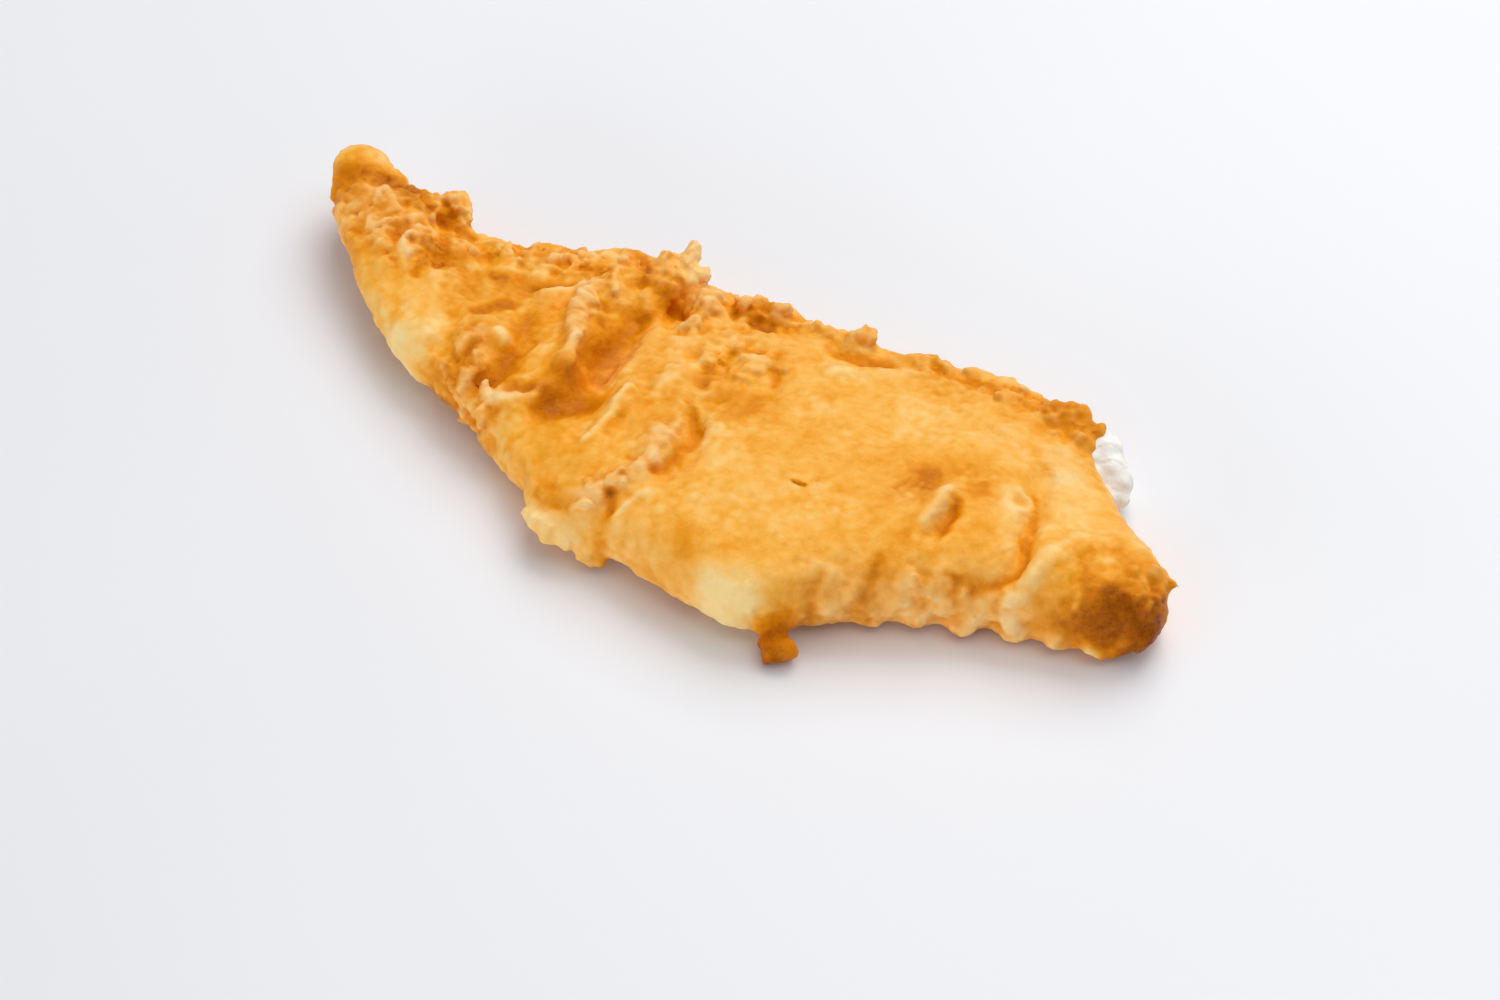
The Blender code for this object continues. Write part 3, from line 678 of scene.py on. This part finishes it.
def fried_depth_and_shade(points):
    """How deeply each place is fried, before its relief: 0 is pale cream, 0.5 gold and 1 brown. Painted
    shade also darkens the foot of the skin near the floor.
    """
    bent = wobbled(points)
    rough = craggy(points)
    depth_and_shade = 0.42 + 0.05 * wavy(points, 24, 2.0) + (0.05 + 0.06 * rough) * wavy(points, 6, 3.0, 3)
    depth_and_shade += 0.07 * rough
    folds = folded(points)
    depth_and_shade += (0.01 + 0.09 * folds) * wavy(along_folds(bent), 7, 23.0, 2) + 0.03 * folds
    depth_and_shade -= 0.05 * puffy(points) * pebbly(bent, 6.0, 14.0)
    specks = patches(points, 12, 43.0, 0.3) * pebbly(bent, 3.0, 41.0)
    depth_and_shade -= 0.20 * (1.0 - rough) * (specks - 0.15)
    for _, shade, width, *line in MARKS:
        share = DEEP_SHARE if shade > 0 else PALE_SHARE
        depth_and_shade = depth_and_shade + share * shade * near(bent, 1.2 * width, *line)
    # Painted shade: darker along the foot of the skin, below 2.6 mm, where the edge meets the floor.
    low = 1.0 - smooth_step(points[:, 2], 0.4, 2.6)
    return depth_and_shade + 0.30 * low


def levelled(depth_and_shade):
    """The depth with its brown end drawn in softly, so that marks that overlap don't turn black."""
    room = DEEPEST - GOLDEN
    over = np.maximum(depth_and_shade - GOLDEN, 0.0)
    return np.clip(np.minimum(depth_and_shade, GOLDEN) + room * (1.0 - np.exp(-over / room)), 0.0, 1.0)


def room_over(flesh, skin):
    """How far each point of the skin is from the flesh, so that no groove cuts through to it."""
    inner = surface_of(flesh)
    places = (skin.points + np.array(MIDDLE)) * MM
    return np.array([inner.find_nearest(p)[3] / MM for p in places.tolist()])


def dissolve_underside(mesh):
    """Merges the flat resting face, which nothing sees close up, into a few faces."""

    def resting(vert):
        return vert.co.z < 0.05 * MM

    with editing(mesh) as bm:
        flat = [v for v in bm.verts if resting(v) and all(resting(e.other_vert(v)) for e in v.link_edges)]
        bmesh.ops.dissolve_verts(bm, verts=flat)
        bmesh.ops.triangulate(bm, faces=[f for f in bm.faces if len(f.verts) > 4])


def round_off(piece):
    """Smooths away the facets of the solid, except on its flat resting face."""
    skin = Skin(piece.data)
    resting = skin.points[:, 2] < RESTING_HEIGHT
    rounded = skin.smoothed(skin.points, FACET_ROUNDS, keep_size=True)
    skin.points = np.where(resting[:, None], skin.points, rounded)
    skin.store()


def brown(skin, raised, fine):
    """Stores how fried and how tan each point is: what stands up is paler, and dips are deeper, which is
    painted light on the crests and painted shade in the dips over the batter's own frying.
    """
    rough = craggy(skin.points)
    depth_and_shade = fried_depth_and_shade(skin.points)
    # Painted light and shade from the relief: crests paler, dips deeper.
    broad_relief_shade, fine_relief_shade = 0.04 + 0.08 * rough, 0.24 + 0.08 * rough
    depth_and_shade -= broad_relief_shade * np.clip(raised, -1.6, 1.3) + fine_relief_shade * np.clip(fine, -0.6, 0.6)
    skin.attribute("fried_and_shade", levelled(depth_and_shade))
    tan = rough * (0.45 + 0.6 * raised) + tanned(wobbled(skin.points))
    skin.attribute("crumbly", np.clip(tan, 0.0, 1.0))


def dress(piece, material):
    """Gives the piece smooth shading and its one material."""
    piece.data.shade_smooth()
    piece.data.materials.clear()
    piece.data.materials.append(material)


def make_crust(crust, flesh):
    """The batter: the solid's outside, rounded off, with its crumbs and its fine relief."""
    piece = outside_of(crust, flesh)
    remeshed(piece, ROUNDED_VOXEL)
    round_off(piece)
    crumbs_on(piece)
    remeshed(piece, FINE_VOXEL)
    dissolve_underside(piece.data)
    skin = Skin(piece.data)
    skin.points = skin.smoothed(skin.points, CRUMB_ROUNDS, keep_size=True)
    broad = skin.smoothed(skin.points, BROAD_ROUNDS)
    normals = skin.normals()
    # The relief ends above the resting face, and its grooves end before the flesh.
    out = batter_relief(skin) * smooth_step(skin.points[:, 2], 0.3, 2.0)
    out = np.maximum(out, np.minimum(0.0, LEAST_BATTER - room_over(flesh, skin)))
    skin.points = skin.points + normals * out[:, None]
    skin.points[:, 2] = np.maximum(skin.points[:, 2], 0.0)
    raised = skin.smoothed(np.einsum("ij,ij->i", skin.points - broad, normals), 2)
    brown(skin, raised, out - skin.smoothed(out, RELIEF_ROUNDS))
    skin.store()
    dress(piece, batter_material())
    return piece


def make_flesh(flesh):
    """The white flesh, with the thin edges of its flakes where it comes out of the crust."""
    piece = new_piece("flesh_flakes", flesh.data.copy())
    with editing(piece.data) as bm:
        for x, y, z, radius in FLAKES:
            place = Matrix.Translation((Vector((x, y, z)) + MIDDLE) * MM)
            place = place @ Matrix.Diagonal((1.0, 1.0, 0.85, 1.0))
            bmesh.ops.create_icosphere(bm, subdivisions=3, radius=radius * MM, matrix=place)
    remeshed(piece, FLESH_VOXEL)
    with editing(piece.data) as bm:
        shown = Vector(LUMP) + MIDDLE
        edges = [e for e in bm.edges if (e.verts[0].co / MM - shown).length < 15]
        bmesh.ops.subdivide_edges(bm, edges=edges, cuts=1, use_grid_fill=True)
    skin = Skin(piece.data)
    skin.points = skin.smoothed(skin.points, FLESH_ROUNDS, keep_size=True)
    normals = skin.normals()
    # Flakes lie in thin curved leaves, one over the other.
    leaf = skin.points @ np.array([0.50, -0.62, 0.60]) + 0.9 * wavy(skin.points, 6, 2.0)
    step = (leaf / 2.6) % 1.0
    near_lump = 1.0 - smooth_step(np.linalg.norm(skin.points - LUMP, axis=1), 10, 14)
    out = 0.28 * (step - 0.5) * near_lump + 0.16 * near_lump * wavy(skin.points, 3.4, 5.0, 2)
    skin.points = skin.points + normals * out[:, None]
    skin.store()
    dress(piece, flesh_material())
    return piece


class Nodes:
    """A short way to lay out a material's nodes."""

    def __init__(self, name):
        self.material = bpy.data.materials.new(name)
        self.material.use_nodes = True
        self.tree = self.material.node_tree
        self.shader = self.tree.nodes["Principled BSDF"]

    def feed(self, socket, value):
        """Links the value to the socket, or sets it there if it is plain."""
        if isinstance(value, bpy.types.NodeSocket):
            self.tree.links.new(value, socket)
        else:
            socket.default_value = value

    def add(self, kind, **inputs):
        node = self.tree.nodes.new(kind)
        for name, value in inputs.items():
            self.feed(node.inputs[name], value)
        return node

    def shade(self, **inputs):
        """Feeds the shader's inputs, named with _ for each space."""
        for name, value in inputs.items():
            self.feed(self.shader.inputs[name.replace("_", " ")], value)

    def math(self, operation, *values, clamp=False):
        node = self.tree.nodes.new("ShaderNodeMath")
        node.operation = operation
        node.use_clamp = clamp
        for socket, value in zip(node.inputs, values):
            self.feed(socket, value)
        return node.outputs[0]

    def varied(self, value, factor, amount, clamp=False):
        """The value moved up and down by noise, by up to half the amount each way."""
        return self.math("MULTIPLY_ADD", self.math("SUBTRACT", factor, 0.5), amount, value, clamp=clamp)

    def mix(self, share, first, second):
        node = self.tree.nodes.new("ShaderNodeMix")
        node.data_type = "RGBA"
        for socket, value in ((node.inputs[0], share), (node.inputs[6], first), (node.inputs[7], second)):
            self.feed(socket, value)
        return node.outputs[2]

    def attribute(self, name):
        node = self.tree.nodes.new("ShaderNodeAttribute")
        node.attribute_name = name
        return node.outputs["Fac"]

    def place(self):
        return self.tree.nodes.new("ShaderNodeTexCoord").outputs["Object"]

    def noise(self, scale, detail=2.0, roughness=0.5):
        return self.add(
            "ShaderNodeTexNoise", Vector=self.place(), Scale=scale, Detail=detail, Roughness=roughness
        ).outputs["Fac"]

    def cells(self, scale):
        node = self.add("ShaderNodeTexVoronoi", Vector=self.place(), Scale=scale)
        node.feature = "SMOOTH_F1"
        return node.outputs["Distance"]

    def ramp(self, factor, stops):
        node = self.tree.nodes.new("ShaderNodeValToRGB")
        ramp = node.color_ramp
        while len(ramp.elements) < len(stops):
            ramp.elements.new(0.5)
        for element, (place, colour) in zip(ramp.elements, stops):
            element.position = place
            element.color = (*linear(*colour), 1.0)
        self.tree.links.new(factor, node.inputs["Fac"])
        return node.outputs["Color"]


def batter_material():
    nodes = Nodes("fried_batter")
    fried_and_shade, crumbly = nodes.attribute("fried_and_shade"), nodes.attribute("crumbly")
    broad, small, grain = nodes.noise(140, 3.0), nodes.noise(520, 3.0, 0.6), nodes.noise(1900, 2.0)
    mottled = nodes.varied(fried_and_shade, broad, 0.14)
    mottled = nodes.varied(mottled, small, 0.20)
    mottled = nodes.varied(mottled, grain, 0.10, clamp=True)
    gold, tan = nodes.ramp(mottled, GOLD_COLOURS), nodes.ramp(mottled, TAN_COLOURS)
    height = nodes.math("MULTIPLY_ADD", nodes.cells(950.0), -0.4, nodes.math("MULTIPLY", small, 0.8))
    height = nodes.math("MULTIPLY_ADD", grain, 0.3, height)
    bump = nodes.add("ShaderNodeBump", Strength=0.3, Distance=0.0008, Height=height)
    nodes.shade(
        Base_Color=nodes.mix(nodes.math("MULTIPLY", crumbly, 0.8, clamp=True), gold, tan),
        Roughness=nodes.varied(nodes.math("MULTIPLY_ADD", crumbly, 0.2, 0.42), small, 0.2),
        Normal=bump.outputs["Normal"],
        Specular_IOR_Level=0.16,
        Specular_Tint=(1.0, 0.72, 0.3, 1.0),
        Subsurface_Weight=0.08,
        Subsurface_Radius=(1.0, 0.55, 0.2),
        Subsurface_Scale=0.002,
    )
    return nodes.material


def flesh_material():
    nodes = Nodes("white_fish_flesh")
    fibre, broad = nodes.noise(900, 3.0), nodes.noise(180, 2.0)
    tone = nodes.math("MULTIPLY_ADD", fibre, 0.5, nodes.math("MULTIPLY", broad, 0.5))
    bump = nodes.add("ShaderNodeBump", Strength=0.35, Distance=0.0005, Height=fibre)
    nodes.shade(
        Base_Color=nodes.ramp(tone, FLESH_COLOURS),
        Roughness=0.45,
        Normal=bump.outputs["Normal"],
        Subsurface_Weight=0.25,
        Subsurface_Radius=(1.0, 0.7, 0.5),
        Subsurface_Scale=0.003,
    )
    return nodes.material


def floor_material():
    nodes = Nodes("pale_floor")
    nodes.shade(
        Base_Color=nodes.ramp(nodes.noise(3, 2.0), FLOOR_COLOURS), Roughness=0.4, Specular_IOR_Level=0.3
    )
    return nodes.material


def facing(azimuth, elevation):
    """The direction from the middle towards a place at these angles."""
    a, e = math.radians(azimuth), math.radians(elevation)
    return Vector((math.sin(a) * math.cos(e), -math.cos(a) * math.cos(e), math.sin(e)))


def make_camera():
    target = (Vector(CAMERA_TARGET) + MIDDLE) * MM
    away = facing(CAMERA_AZIMUTH, CAMERA_ELEVATION)
    data = bpy.data.cameras.new("camera")
    data.lens = CAMERA_LENS
    data.sensor_width = 36.0
    camera = bpy.data.objects.new("camera", data)
    camera.location = target + away * CAMERA_DISTANCE * MM
    camera.rotation_mode = "QUATERNION"
    camera.rotation_quaternion = (-away).to_track_quat("-Z", "Y")
    bpy.context.scene.collection.objects.link(camera)
    bpy.context.scene.camera = camera


def soft_light(name, azimuth, elevation, distance, width, height, power, colour):
    """A wide area light that faces the fillet."""
    data = bpy.data.lights.new(name, "AREA")
    data.shape = "RECTANGLE"
    data.size = width
    data.size_y = height
    data.energy = power
    data.color = colour
    light = bpy.data.objects.new(name, data)
    away = facing(CAMERA_AZIMUTH + azimuth, elevation)
    light.location = away * distance
    light.rotation_mode = "QUATERNION"
    light.rotation_quaternion = (-away).to_track_quat("-Z", "Y")
    bpy.context.scene.collection.objects.link(light)


def make_studio():
    mesh = bpy.data.meshes.new("floor")
    with editing(mesh) as bm:
        bmesh.ops.create_grid(bm, x_segments=2, y_segments=2, size=3.0)
    floor = new_piece("floor", mesh)
    floor.location.z = -0.0002
    mesh.materials.append(floor_material())
    for name, settings in LIGHTS.items():
        soft_light(name, *settings)
    world = bpy.data.worlds.new("studio")
    world.use_nodes = True
    sky = world.node_tree.nodes["Background"]
    sky.inputs["Color"].default_value = SKY_COLOUR
    sky.inputs["Strength"].default_value = SKY_STRENGTH
    bpy.context.scene.world = world
    bpy.context.scene.view_settings.view_transform = "Standard"


def main():
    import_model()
    make_camera()
    make_studio()
    crust, flesh = (bpy.data.objects[name] for name in ("batter_crust", "fish_flesh"))
    skin = make_crust(crust, flesh)
    flakes = make_flesh(flesh)
    for piece, node, slot in (
        (skin, "batter_crust", "golden_batter"),
        (flakes, "fish_flesh", "white_flesh"),
    ):
        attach(piece, "root")
        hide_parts(node)


main()
